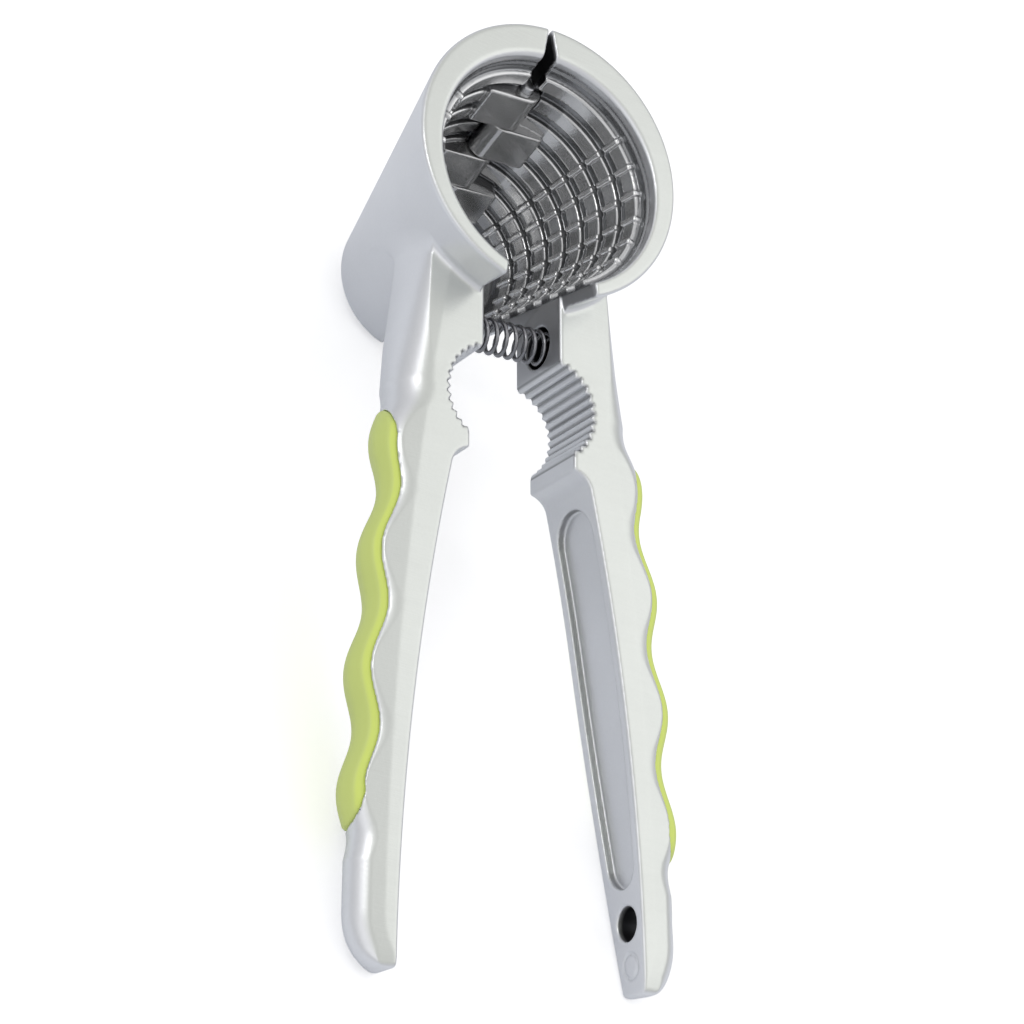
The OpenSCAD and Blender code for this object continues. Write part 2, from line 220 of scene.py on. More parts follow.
def levels(deep, first, extra):
    pitch = hinge["length"] + hinge["gap"]
    half = hinge["length"] / 2
    centres = [-(hinge["top"] + half + i * pitch) for i in range(first, hinge["knuckles"], 2)]
    return np.minimum.reduce([np.abs(deep - c) - half - extra for c in centres])


def knuckles(x, along, deep, first):
    barrel = np.hypot(x, along) - hinge["radius"]
    web = np.maximum(np.abs(x - hinge["webWidth"] / 2) - hinge["webWidth"] / 2,
                     np.maximum(-hinge["radius"] - along, along - hinge["webOut"]))
    return roundMax(np.minimum(barrel, web), levels(deep, first, 0), hinge["round"])


def knuckleRoom(x, along, deep, first):
    barrel = np.hypot(x, along) - hinge["radius"] - hinge["room"]
    return np.maximum(barrel, levels(deep, 1 - first, hinge["gap"]))


handle = {
    "drop": 10.3,  # from the cup's mouth down to the flat front face
    "thick": 15.5,
    "start": -55.8234,  # where the long inner side starts, below the jaw
    "length": 87.5,
    "innerStart": 14.0,  # the inner side's distance from the middle, at both ends
    "innerEnd": 23.351,
    "innerBow": 2.2,
    "outerFrom": -32.1585,  # where the outer side's line starts, on the neck
    "outerStart": 22.5,
    "outerBow": 2.0,
    "tipWidth": 8.0,
    "tipFlat": 2.0,
    "tipRound": 9.0,
    "thinning": 6.6,
    "thinLength": 53.0,
    "thinMost": 1.15,  # the thinning stops a little past thinLength
    "widest": 4.0,  # depth of the widest line below the front face, away from the neck
    "shoulder": 5.0,  # width of the rounding between the front face and the outer side
    "rearOval": 3.0,  # the higher, the nearer the rear side is to an oval
    "jawBack": 15.8,  # the outer side's oval stays outside this line
    "backRoom": 1.6,
    "leastWidth": 0.3,
    "edge": 0.6,
    "endEdge": 0.8,
    "ridgeIn": 0.6,
    "ridgeDrop": 0.13,  # slope of the facet between the flat face and the shoulder
    "recessDepth": 1.6,
    "recessIn": 1.2,
    "recessEdge": 2.05,
    "recessRound": 0.3,
    "recessToHole": 3.0,
    "pocketEdge": 0.35,  # rounding round the recess and the grip's seat
    "holeRadius": 3.0,
    "holeIn": 12.5,
    "holeEdge": 0.5,
    "markRadius": 2.1,
    "markIn": 5.2,
    "markDepth": 0.3,
    "markWidth": 0.28,
}
handle["tip"] = handle["start"] - handle["length"]
handle["outerTo"] = handle["tip"] + handle["tipWidth"]
handle["outerEnd"] = handle["innerEnd"] + handle["tipWidth"]

grip = {
    "start": -46.2537,
    "pitch": 21.0,  # from one finger wave to the next
    "waves": 3.55,
    "height": 1.15,
    "depth": 5.6,
    "wall": 3.4,  # metal left between the grip and the handle's inner side
    "proud": 0.4,
    "above": 1.3,  # metal shoulder in front of the grip, which narrows towards the tip
    "aboveLoss": 0.35,
    "under": 1.4,  # metal behind the grip
    "gap": 0.12,
    "round": 0.6,
}
grip["end"] = grip["start"] - grip["waves"] * grip["pitch"]


def bowed(share, bow):
    return 4 * bow * share * (1 - share)


def innerLine(y):
    share = (handle["start"] - y) / (handle["start"] - handle["tip"])
    straight = handle["innerStart"] + (handle["innerEnd"] - handle["innerStart"]) * share
    return straight + bowed(share, handle["innerBow"])


def outerLine(y):
    share = (handle["outerFrom"] - y) / (handle["outerFrom"] - handle["outerTo"])
    straight = handle["outerStart"] + (handle["outerEnd"] - handle["outerStart"]) * share
    return straight + bowed(share, handle["outerBow"])


def wave(y):
    # the finger waves of the outer side, which fade out past both ends of the grip
    fade = grip["pitch"] / 4
    ends = np.minimum((grip["start"] + fade - y) / fade, (y - grip["end"] + fade) / fade)
    crest = grip["start"] - grip["pitch"] / 4
    return grip["height"] * np.clip(ends, 0, 1) * np.cos(2 * math.pi * (y - crest) / grip["pitch"])


def tipCut(y):
    # the rounding of the outer side at the tip
    share = np.clip((handle["tip"] + handle["tipRound"] - y) / handle["tipRound"], 0, 1)
    return (handle["tipWidth"] - handle["tipFlat"]) * (1 - np.sqrt(1 - share * share))


def halfThick(y):
    full = handle["tip"] + handle["thinLength"] + handle["tipWidth"]
    share = np.clip((full - y) / handle["thinLength"], 0, handle["thinMost"])
    return (handle["thick"] - handle["thinning"] * share * share) / 2


def middle(y):
    return -(handle["drop"] + halfThick(y))


def gripFloor(y):
    return outerLine(y) - np.minimum(grip["depth"], outerLine(y) - innerLine(y) - grip["wall"])


def barSection(x, y, z, proud=0.0):
    # an oval by the neck, whose widest line moves up to the front face along the handle
    tiny = 1e-4  # keeps the slope finite on the section's axes
    thick = 2 * halfThick(y)
    change = handle["outerFrom"] - grip["start"] + grip["pitch"] / 2
    flat = np.clip((handle["outerFrom"] - y) / change, 0, 1)
    half = handle["thick"] / 2
    high = np.minimum(thick / 2, half + (handle["widest"] - half) * flat)
    inner = np.maximum(innerLine(y), handle["jawBack"])
    room = outerLine(y) - inner - tipCut(y) - handle["backRoom"]
    up = z + handle["drop"] + high
    tall = np.where(up > 0, high, thick - high)
    wide = np.where(up > 0, half + (handle["shoulder"] - half) * flat, thick - high)
    wide = np.maximum(np.minimum(wide, room), handle["leastWidth"])
    power = np.where(up > 0, 2, 2 / (1 + flat / handle["rearOval"]))
    centre = outerLine(y) + wave(y) - tipCut(y) - wide
    wide = wide + proud
    tall = tall + proud
    u = np.maximum(x - centre, 0) / wide + tiny
    v = np.abs(up) / tall + tiny
    size = (u ** power + v ** power) ** (1 / power)
    slope = size ** (1 - power) * np.hypot(u ** (power - 1) / wide, v ** (power - 1) / tall)
    side = (size - 1) / slope
    ridge = outerLine(y) - tipCut(y) - handle["shoulder"] - handle["ridgeIn"]
    front = z + handle["drop"] - proud + handle["ridgeDrop"] * (x - ridge)
    shape = np.where(x > centre, side, np.abs(up) - tall)
    return np.maximum(shape, front / math.hypot(1, handle["ridgeDrop"]))


jaw = {
    "neckX": 7.8,  # half the gap between the necks
    "x": 5.4,  # centre and radius of the toothed round
    "y": -41.4537,
    "radius": 9.6,
    "teeth": 13,
    "toothHeight": 0.75,
    "toothSlope": 1.3,  # a tooth's flank makes the distance come out this much too large
    "lipX": 10.6,
    "lipEnd": -52.424,
    "lipFillet": 3.0,
    "lipRound": 0.6,
    "springY": -26.7585,
    "springZ": -18.05,
    "seatRadius": 3.9,
    "seatDepth": 5.6,
    "seatRound": 0.4,
}
jaw["from"] = math.acos((jaw["neckX"] - jaw["x"]) / jaw["radius"])
jaw["to"] = -math.acos((jaw["lipX"] - jaw["x"]) / jaw["radius"])


def jawTooth(x, y):
    turn = np.arctan2(y - jaw["y"], x - jaw["x"])
    share = (jaw["from"] - turn) / (jaw["from"] - jaw["to"]) * jaw["teeth"]
    tooth = 1 - np.abs(share % 1 - 0.5) * 2
    return np.where((share > 0) & (share < jaw["teeth"]), tooth, 0)


def jawTrough(x, y):
    # where the surface lies in the low part between two teeth
    far = np.hypot(x - jaw["x"], y - jaw["y"]) - jaw["radius"]
    near = ramp(far, -1.2, -0.9) * ramp(0.5 - far, 0, 0.3) * (jawTooth(x, y) > 0)
    return near * ramp(-jawTooth(x, y), -0.55, -0.1)


def jawAir(x, y):
    bite = np.hypot(x - jaw["x"], y - jaw["y"]) - jaw["radius"] + jaw["toothHeight"] * jawTooth(x, y)
    bite = bite / jaw["toothSlope"]
    neck = np.maximum(x - jaw["neckX"], jaw["y"] - y)
    lip = np.maximum(x - jaw["lipX"], y - jaw["y"])
    below = roundMax(y - jaw["lipEnd"], x - innerLine(y), jaw["lipFillet"])
    return np.minimum(np.minimum(bite, below), np.minimum(neck, roundMin(lip, below, jaw["lipRound"])))


def springSeat(x, y, z):
    return np.maximum(np.hypot(y - jaw["springY"], z - jaw["springZ"]) - jaw["seatRadius"],
                      x - jaw["neckX"] - jaw["seatDepth"])


def armSolid(x, y, z):
    bar = roundMax(barSection(x, y, z), -jawAir(x, y), handle["edge"])
    bar = roundMax(bar, handle["tip"] - y, handle["endEdge"])
    bar = np.maximum(bar, y + cup["barStop"])
    return roundMax(bar, -springSeat(x, y, z), jaw["seatRound"])


def recessSlot(y, z):
    high = handle["start"] - handle["recessIn"]
    low = handle["tip"] + handle["holeIn"] + handle["holeRadius"] + handle["recessToHole"]
    return stadium(y, z, high, low, middle(y), halfThick(y) - handle["recessEdge"])


def recess(x, y, z):
    bottom = x - innerLine(y) - handle["recessDepth"]
    return roundMax(recessSlot(y, z), bottom, handle["recessRound"])


def gripSlot(y, z, gap):
    above = grip["above"] - grip["aboveLoss"] * (grip["start"] - y) / (grip["start"] - grip["end"])
    centre = -handle["drop"] - (above + 2 * halfThick(y) - grip["under"]) / 2
    half = halfThick(y) - (above + grip["under"]) / 2
    return stadium(y, z, grip["start"] + gap, grip["end"] - gap, centre, half + gap)


def hangingHole(y, z):
    place = handle["tip"] + handle["holeIn"]
    return np.hypot(y - place, z - middle(place)) - handle["holeRadius"]


def castMark(x, y, z):
    # a small shallow ring beyond the hanging hole
    place = handle["tip"] + handle["markIn"]
    ring = np.abs(np.hypot(y - place, z - middle(place)) - handle["markRadius"])
    ring = ring - handle["markWidth"]
    return np.maximum(ring, x - innerLine(y) - handle["markDepth"])


def armShape(first, withHole):
    def shape(x, y, z):
        along, deep = hingeFrame(y, z)
        inside = cupInside(x, y, z)
        outside = cupOutside(x, y, z)
        neck = armSolid(x, y, z)
        lining = np.maximum(cupRibs(x, y, z), outside)
        shell = roundMax(roundMin(outside, neck, cup["blend"]), -inside, cup["edge"])
        shell = np.minimum(shell, lining)
        shell = roundMax(shell, slotFace(x, along), cup["edge"])
        shell = np.maximum(shell, -knuckleRoom(x, along, deep, first))
        solid = np.minimum(shell, np.maximum(neck, -inside))
        solid = np.minimum(solid, np.maximum(knuckles(x, along, deep, first), outside))
        solid = np.maximum(solid, hinge["pinRadius"] + hinge["boreGap"] - np.hypot(x, along))
        solid = roundMax(solid, -recess(x, y, z), handle["pocketEdge"])
        seat = np.maximum(gripSlot(y, z, grip["gap"]), gripFloor(y) - grip["gap"] - x)
        solid = roundMax(solid, -seat, handle["pocketEdge"])
        if withHole:
            solid = roundMax(solid, -hangingHole(y, z), handle["holeEdge"])
        return np.maximum(solid, -castMark(x, y, z))
    return shape


def gripShape(x, y, z):
    body = roundMax(barSection(x, y, z, grip["proud"]), gripSlot(y, z, 0), grip["round"])
    return np.maximum(body, gripFloor(y) - x)


net = {
    "step": 0.32,
    "slab": 24,  # layers worked out at a time, to save memory
    "rounds": 4,
    "probe": 0.02,
    "pull": 0.8,
    "leastSlope": 0.25,
    "leash": 0.6,  # how far a point may move, in steps
}


def surfaceNet(shape, low, high, step):
    # one point in each cell that the surface passes through, one face for each edge that it cuts
    axes = [np.arange(a, b + step, step, dtype=np.float32) for a, b in zip(low, high)]
    x, z = axes[0][:, None, None], axes[2][None, None, :]
    field = np.concatenate([shape(x, axes[1][None, i:i + net["slab"], None], z).astype(np.float32)
                            for i in range(0, len(axes[1]), net["slab"])], axis=1)
    cells = np.array(field.shape) - 1
    rows, places, quads = [], [], []
    for axis in range(3):
        before = np.take(field, range(0, cells[axis]), axis)
        after = np.take(field, range(1, cells[axis] + 1), axis)
        at = np.argwhere((before < 0) != (after < 0))
        a, b = before[tuple(at.T)], after[tuple(at.T)]
        point = at.astype(np.float64)
        point[:, axis] += a / (a - b)
        u, v = [i for i in range(3) if i != axis]
        keep = (at[:, u] > 0) & (at[:, v] > 0) & (at[:, u] < cells[u]) & (at[:, v] < cells[v])
        at, point, rising = at[keep], point[keep], (a < 0)[keep]
        corner = []
        for du, dv in ((0, 0), (1, 0), (1, 1), (0, 1)):
            cell = at.copy()
            cell[:, u] -= du
            cell[:, v] -= dv
            corner.append(np.ravel_multi_index(cell.T, cells))
        corner = np.stack(corner, 1)
        flip = rising == (axis == 1)
        corner[flip] = corner[flip][:, ::-1]
        rows.append(corner.ravel())
        places.append(np.repeat(point, 4, axis=0))
        quads.append(corner)
    index = np.unique(np.concatenate(rows), return_inverse=True)[1]
    places = np.concatenate(places)
    count = np.bincount(index)
    points = np.stack([np.bincount(index, places[:, i]) / count for i in range(3)], 1)
    points = points * step + np.array([a[0] for a in axes])
    return settle(shape, points, step), index.reshape(-1, 4)


def settle(shape, points, step):
    # pulls each point onto the true surface, along the slope of the distance
    start = points.copy()
    h = net["probe"]
    for _ in range(net["rounds"]):
        d = shape(*points.T)
        rises = [shape(*(points + h * e).T) - shape(*(points - h * e).T) for e in np.eye(3)]
        slope = np.stack(rises, 1) / (2 * h)
        length = np.maximum((slope ** 2).sum(1), net["leastSlope"])
        points = points - (net["pull"] * d / length)[:, None] * slope
        move = points - start
        far = np.maximum(np.linalg.norm(move, axis=1), 1e-9)
        points = start + move * np.minimum(1, net["leash"] * step / far)[:, None]
    return points


def addMesh(name, points, faces, mirrored=False):
    if mirrored:
        points = points * (-1, 1, 1)
        faces = faces[:, ::-1]
    mesh = bpy.data.meshes.new(name)
    mesh.from_pydata(points.tolist(), [], faces.tolist())
    mesh.transform(toRow)
    mesh.shade_smooth()
    obj = bpy.data.objects.new(name, mesh)
    scene.collection.objects.link(obj)
    return obj


def ramp(value, low, high):
    share = np.clip((value - low) / (high - low), 0, 1)
    return share * share * (3 - 2 * share)


# where painted shade goes, and how dark it is painted
zones = {
    "plateWidth": 10.5,  # the bare plate round the spring, which gets painted shade
    "plateFrom": -36,
    "plateFull": -30,
    "notchWidth": 6,  # the cut faces by the hinge, which get painted shade
    "notchFrom": 8,
    "notchFull": 14,
    "plateShade": 0.42,
    "blockShade": 0.4,
    "troughShade": 0.62,
    "wallShade": 0.6,
}


def addZones(obj, points, withHole=False):
    # masks for the colour: inside the cup, painted shade in dark places, faces that look forwards, painted
    # highlight on the rib crests
    mesh = obj.data
    x, y, z = points.T
    normal = np.array([v.vector[:] for v in mesh.vertex_normals]) @ np.array(toRow.to_3x3().normalized())
    inside = ramp(-cupInside(x, y, z), -0.6, -0.05) * ramp(-z, 1.4, 2.2)
    sideways = ramp(np.abs(normal[:, 0]), 0.9, 0.97)
    proud = -boreFrame(x, y, z)[2]
    # painted shade on the sideways plate round the spring
    plate = sideways * ramp(zones["plateWidth"] - x, 0, 1) * ramp(y, zones["plateFrom"], zones["plateFull"])
    plate = plate * (1 - ramp(z, -1.5, -0.3))
    plate = plate * (1 - ramp(proud, 0.0, 0.25))  # the ribs' cut ends stay bright
    along, inward = hingeFrame(y, z)
    # painted shade on the knuckle blocks inside the cup
    block = inside * ramp(along, -hinge["radius"] - 0.3, -hinge["radius"])
    block = block * ramp(hinge["webWidth"] + 0.3 - x, 0, 0.3)
    block = block * ramp(-inward, hinge["top"] - 0.6, hinge["top"] - 0.2)
    # painted shade on the sideways cut faces by the hinge
    notch = sideways * ramp(zones["notchWidth"] - x, 0, 1) * ramp(y, zones["notchFrom"], zones["notchFull"])
    notch = notch * (1 - ramp(z, -1.2, -0.2))
    # painted shade in the spring's seat
    seat = ramp(-springSeat(x, y, z), -0.3, 0.0)
    # painted shade in the low parts between the jaw's teeth
    trough = jawTrough(x, y)
    deep = x - innerLine(y)
    # painted shade on the walls of the recess
    wall = ramp(0.5 - np.abs(recessSlot(y, z)), 0.0, 0.3) * ramp(deep, 0.15, 0.5)
    wall = wall * ramp(handle["recessDepth"] - deep, 0.05, 0.4)
    # all the painted shade in one mask
    dark = np.maximum.reduce([plate * zones["plateShade"], block * zones["blockShade"], notch, seat,
                              trough * zones["troughShade"], wall * zones["wallShade"]])
    if withHole:
        # painted shade inside the hanging hole
        hole = ramp(-hangingHole(y, z), -0.25, 0.0) * ramp(deep, 0.3, 1.4)
        dark = np.maximum(dark, hole)
    # faces that look up: for the polishing strokes, and for a tone by facing that is painted light and
    # shade
    front = ramp(normal[:, 2], 0.8, 0.97)
    # painted highlight on the rib crests and the studs
    onRib = ramp(proud, 0.15, ribs["height"] - 0.1)
    onStud = ramp(proud, ribs["height"] + 0.1, ribs["height"] + 0.4)
    crest = 0.6 * onRib + 0.4 * onStud
    layer = mesh.color_attributes.new("zones", "FLOAT_COLOR", "POINT")
    masks = np.stack([inside, dark, front, crest], 1)
    layer.data.foreach_set("color", masks.astype(np.float32).ravel())


class Nodes:
    # short calls for building one node tree
    def __init__(self, tree):
        self.tree = tree

    def add(self, kind, inputs=None, **settings):
        node = self.tree.nodes.new(kind)
        for name, value in settings.items():
            setattr(node, name, value)
        for name, value in (inputs or {}).items():
            if isinstance(value, bpy.types.NodeSocket):
                self.tree.links.new(value, node.inputs[name])
            else:
                node.inputs[name].default_value = value
        return node

    def maths(self, operation, a, b=0.0, clamp=False):
        return self.add("ShaderNodeMath", {0: a, 1: b}, operation=operation, use_clamp=clamp).outputs[0]

    def blend(self, share, a, b):
        node = self.add("ShaderNodeMix", data_type="RGBA")
        for socket, value in ((node.inputs[0], share), (node.inputs[6], a), (node.inputs[7], b)):
            if isinstance(value, bpy.types.NodeSocket):
                self.tree.links.new(value, socket)
            else:
                socket.default_value = value
        return node.outputs[2]


def newGroup(name, inputs, outputs):
    tree = bpy.data.node_groups.new(name, "ShaderNodeTree")
    for label, value in inputs.items():
        kind = "NodeSocketColor" if isinstance(value, tuple) else "NodeSocketFloat"
        tree.interface.new_socket(label, in_out="INPUT", socket_type=kind).default_value = value
    for label, kind in outputs.items():
        tree.interface.new_socket(label, in_out="OUTPUT", socket_type=kind)
    nodes = Nodes(tree)
    return nodes, nodes.add("NodeGroupInput").outputs, nodes.add("NodeGroupOutput")


streaks = {"across": 160.0, "along": 2600.0, "lean": 0.12, "detail": 3.0, "roughness": 0.6}


def makeStreaks():
    # fine strokes across the handle, as left by a polishing belt
    inputs = {"Across": streaks["across"], "Along": streaks["along"], "Contrast": 1.0}
    n, given, out = newGroup("streaks", inputs, {"Value": "NodeSocketFloat"})
    place = n.add("ShaderNodeTexCoord").outputs["Object"]
    turn = (-tilt, 0, streaks["lean"])
    laid = n.add("ShaderNodeMapping", {"Vector": place, "Rotation": turn}).outputs[0]
    sizes = {0: given["Across"], 1: given["Along"], 2: given["Across"]}
    scale = n.add("ShaderNodeCombineXYZ", sizes).outputs[0]
    stretched = n.add("ShaderNodeVectorMath", {0: laid, 1: scale}, operation="MULTIPLY").outputs[0]
    noise = n.add("ShaderNodeTexNoise", {"Vector": stretched, "Scale": 1.0, "Detail": streaks["detail"],
                                         "Roughness": streaks["roughness"]})
    centred = n.maths("SUBTRACT", noise.outputs[0], 0.5)
    value = n.maths("ADD", n.maths("MULTIPLY", centred, given["Contrast"]), 0.5)
    n.tree.links.new(value, out.inputs["Value"])
    return n.tree


def makeCloud():
    # slow unevenness of a plated or moulded surface
    inputs = {"Size": 90.0, "Grain": 2400.0, "GrainShare": 0.4}
    n, given, out = newGroup("cloud", inputs, {"Value": "NodeSocketFloat", "Fine": "NodeSocketFloat"})
    place = n.add("ShaderNodeTexCoord").outputs["Object"]
    slow = n.add("ShaderNodeTexNoise", {"Vector": place, "Scale": given["Size"], "Detail": 3.0}).outputs[0]
    fine = n.add("ShaderNodeTexNoise", {"Vector": place, "Scale": given["Grain"], "Detail": 2.0}).outputs[0]
    mixed = n.add("ShaderNodeMix", {0: given["GrainShare"], 2: slow, 3: fine}, data_type="FLOAT")
    n.tree.links.new(mixed.outputs[0], out.inputs["Value"])
    n.tree.links.new(fine, out.inputs["Fine"])
    return n.tree


streakGroup = makeStreaks()
cloudGroup = makeCloud()


def newMaterial(name):
    mat = bpy.data.materials.new(name)
    mat.use_nodes = True
    mat.node_tree.nodes.clear()
    n = Nodes(mat.node_tree)
    shader = n.add("ShaderNodeBsdfPrincipled")
    out = n.add("ShaderNodeOutputMaterial")
    n.tree.links.new(shader.outputs[0], out.inputs[0])
    return mat, n, shader


def useGroup(n, group, **values):
    node = n.add("ShaderNodeGroup", node_tree=group)
    for name, value in values.items():
        node.inputs[name].default_value = value
    return node.outputs


def plug(n, shader, **sources):
    for name, source in sources.items():
        n.tree.links.new(source, shader.inputs[name.replace("_", " ")])


def bumpOf(n, height, strength, distance):
    inputs = {"Height": height, "Strength": strength, "Distance": distance}
    return n.add("ShaderNodeBump", inputs).outputs[0]


casting = {
    # the faces that look up are made darker and those that look aside lighter, to even out the lamps:
    # painted light and shade
    "front": (0.70, 0.72, 0.69, 1),
    "side": (0.84, 0.85, 0.875, 1),
    # painted highlight on the rib crests, painted shade over the rest of the cup's inside
    "crest": (1.0, 1.0, 1.0, 1),
    "paintedShadeInCup": (0.29, 0.295, 0.305, 1),
    # painted shade: the colour of the dark places
    "dark": (0.035, 0.036, 0.04, 1),
    "roughness": 0.36,
    "insideRoughness": 0.18,
    "streakRoughness": 0.12,
    "mottle": 0.12,
    "metallic": 0.85,
    "streakHeight": 0.7,
    "grainHeight": 0.3,
    "bump": 0.16,
    "bumpDepth": 0.0002,
}


def castingMaterial():
    mat, n, shader = newMaterial("pearlCasting")
    masks = n.add("ShaderNodeVertexColor", layer_name="zones").outputs
    inside, dark, front = n.add("ShaderNodeSeparateColor", {"Color": masks[0]}).outputs
    cloud = useGroup(n, cloudGroup, Size=70.0, Grain=1800.0, GrainShare=0.35)
    streak = useGroup(n, streakGroup)
    # painted highlight on the rib crests over painted shade in the cup
    lining = n.blend(masks[1], casting["paintedShadeInCup"], casting["crest"])
    # painted light and shade: the tone follows which way a face looks
    colour = n.blend(front, casting["side"], casting["front"])
    # the inside of the cup takes the painted shade and highlight
    colour = n.blend(inside, colour, lining)
    # painted shade laid over the dark places
    colour = n.blend(dark, colour, casting["dark"])
    mottle = n.maths("MULTIPLY", cloud["Value"], casting["mottle"])
    shade = n.maths("ADD", mottle, 1 - casting["mottle"] / 2)
    tint = n.add("ShaderNodeCombineColor", {0: shade, 1: shade, 2: shade}).outputs[0]
    mixed = n.add("ShaderNodeMix", data_type="RGBA", blend_type="MULTIPLY")
    mixed.inputs[0].default_value = 1.0
    n.tree.links.new(colour, mixed.inputs[6])
    n.tree.links.new(tint, mixed.inputs[7])
    base = casting["roughness"] - casting["streakRoughness"] / 2
    smoother = casting["roughness"] - casting["insideRoughness"]
    rough = n.maths("ADD", n.maths("MULTIPLY", streak["Value"], casting["streakRoughness"]), base)
    rough = n.maths("SUBTRACT", rough, n.maths("MULTIPLY", inside, smoother))
    strokes = n.maths("MULTIPLY", n.maths("MULTIPLY", streak["Value"], front), casting["streakHeight"])
    height = n.maths("ADD", strokes, n.maths("MULTIPLY", cloud["Fine"], casting["grainHeight"]))
    shader.inputs["Metallic"].default_value = casting["metallic"]
    plug(n, shader, Base_Color=mixed.outputs[2], Roughness=rough,
         Normal=bumpOf(n, height, casting["bump"], casting["bumpDepth"]))
    return mat


steel = {
    "spring": (0.36, 0.36, 0.38, 1),
    "pin": (0.62, 0.63, 0.65, 1),
    "springRoughness": 0.18,
    "pinRoughness": 0.28,
    "unevenRoughness": 0.14,
    "darker": 0.72,
    "bump": 0.08,
    "bumpDepth": 0.0001,
}


def steelMaterial(name, colour, roughness):
    mat, n, shader = newMaterial(name)
    cloud = useGroup(n, cloudGroup, Size=400.0, Grain=5000.0, GrainShare=0.5)
    dark = tuple(c * steel["darker"] for c in colour[:3]) + (1,)
    uneven = n.maths("MULTIPLY", cloud["Fine"], steel["unevenRoughness"])
    plug(n, shader, Base_Color=n.blend(cloud["Value"], dark, colour),
         Roughness=n.maths("ADD", uneven, roughness),
         Normal=bumpOf(n, cloud["Fine"], steel["bump"], steel["bumpDepth"]))
    shader.inputs["Metallic"].default_value = 1.0
    return mat


rubber = {
    "face": (0.66, 0.76, 0.235, 1),
    # painted highlight on the faces of the grip that look up
    "edge": (0.72, 0.84, 0.19, 1),
    "worn": (0.60, 0.70, 0.21, 1),
    "roughness": 0.42,
    "unevenRoughness": 0.16,
    "wear": 0.5,
    "specular": 0.45,
    "bump": 0.12,
    "bumpDepth": 0.0001,
}


def gripMaterial():
    mat, n, shader = newMaterial("greenGrip")
    masks = n.add("ShaderNodeVertexColor", layer_name="zones").outputs[0]
    front = n.add("ShaderNodeSeparateColor", {"Color": masks}).outputs[2]
    cloud = useGroup(n, cloudGroup, Size=120.0, Grain=3200.0, GrainShare=0.3)
    colour = n.blend(n.maths("MULTIPLY", cloud["Value"], rubber["wear"]), rubber["face"], rubber["worn"])
    # painted highlight: the grip's faces that look up get the lighter colour
    colour = n.blend(front, colour, rubber["edge"])
    uneven = n.maths("MULTIPLY", cloud["Value"], rubber["unevenRoughness"])
    plug(n, shader, Base_Color=colour,
         Roughness=n.maths("ADD", uneven, rubber["roughness"] - rubber["unevenRoughness"] / 2),
         Normal=bumpOf(n, cloud["Fine"], rubber["bump"], rubber["bumpDepth"]))
    shader.inputs["Specular IOR Level"].default_value = rubber["specular"]
    return mat


castingFinish = castingMaterial()
springFinish = steelMaterial("springSteel", steel["spring"], steel["springRoughness"])
pinFinish = steelMaterial("pinSteel", steel["pin"], steel["pinRoughness"])
gripFinish = gripMaterial()
print("materials")


# how far the nets reach across and behind, in millimetres
span = {"armInner": -3.6, "armOuter": 33.5, "armRear": 28, "gripInner": 15, "gripOuter": 34, "margin": 1}


def makeArm(side, first):
    # the left arm is the right one mirrored, with the other knuckles
    shape = armShape(first, withHole=side == "right")
    low = (span["armInner"], handle["tip"] - span["margin"], -cup["height"] - span["margin"])
    points, faces = surfaceNet(shape, low, (span["armOuter"], span["armRear"], span["margin"]), net["step"])
    arm = addMesh(side + "Casting", points, faces, mirrored=side == "left")
    addZones(arm, points, withHole=side == "right")
    arm.data.materials.append(castingFinish)
    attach(arm, side)
    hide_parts(side + "_arm")
    return arm


def makeGrip(side):
    margin = span["margin"]
    low = (span["gripInner"], grip["end"] - margin, -handle["drop"] - handle["thick"] - margin)
    high = (span["gripOuter"], grip["start"] + margin, -handle["drop"] + margin)
    points, faces = surfaceNet(gripShape, low, high, net["step"])
    piece = addMesh(side + "FingerGrip", points, faces, mirrored=side == "left")
    addZones(piece, points)
    piece.data.materials.append(gripFinish)
    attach(piece, side)
    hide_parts(side + "_grip")


for side, first in (("left", 0), ("right", 1)):
    arm = makeArm(side, first)
    print("arm", side, len(arm.data.polygons), "faces")
    makeGrip(side)
    print("grip", side)


def joinRings(bm, rings):
    for a, b in zip(rings, rings[1:]):
        for k, corner in enumerate(a):
            m = (k + 1) % len(a)
            bm.faces.new((corner, a[m], b[m], b[k]))


def addTurned(bm, name, finish):
    bmesh.ops.recalc_face_normals(bm, faces=bm.faces)
    mesh = bpy.data.meshes.new(name)
    bm.to_mesh(mesh)
    bm.free()
    mesh.transform(toRow)
    mesh.shade_smooth()
    obj = bpy.data.objects.new(name, mesh)
    scene.collection.objects.link(obj)
    obj.data.materials.append(finish)
    return obj


coil = {"radius": 3.4, "wire": 0.85, "turns": 13, "length": 26.7, "steps": 40, "sides": 14}


def makeSpring():
    # a wire wound at one pitch, from the bottom of one seat to the bottom of the other
    bm = bmesh.new()
    rings = []
    count = coil["turns"] * coil["steps"]
    middleRadius = coil["radius"] - coil["wire"] / 2
    for i in range(count + 1):
        angle = 2 * math.pi * i / coil["steps"]
        share = i / count
        place = (share - 0.5) * (coil["length"] - coil["wire"])
        out = Vector((0, math.cos(angle), math.sin(angle)))
        centre = Vector((place, jaw["springY"], jaw["springZ"])) + out * middleRadius
        ring = []
        for k in range(coil["sides"]):
            turn = 2 * math.pi * k / coil["sides"]
            offset = out * math.cos(turn) + Vector((1, 0, 0)) * math.sin(turn)
            ring.append(bm.verts.new(centre + offset * coil["wire"] / 2))
        rings.append(ring)
    joinRings(bm, rings)
    bm.faces.new(rings[0][::-1])
    bm.faces.new(rings[-1])
    obj = addTurned(bm, "coilSpring", springFinish)
    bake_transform(obj)
    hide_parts("spring")


makeSpring()


pin = {
    "radius": 1.25,
    "from": 7.8,
    "length": 36.9,
    "dome": 0.35,
    "domeFlat": 0.7,  # share of the radius that stays flat
    "domeShare": 0.4,
    "domeIn": 0.12,
    "sides": 48,
}


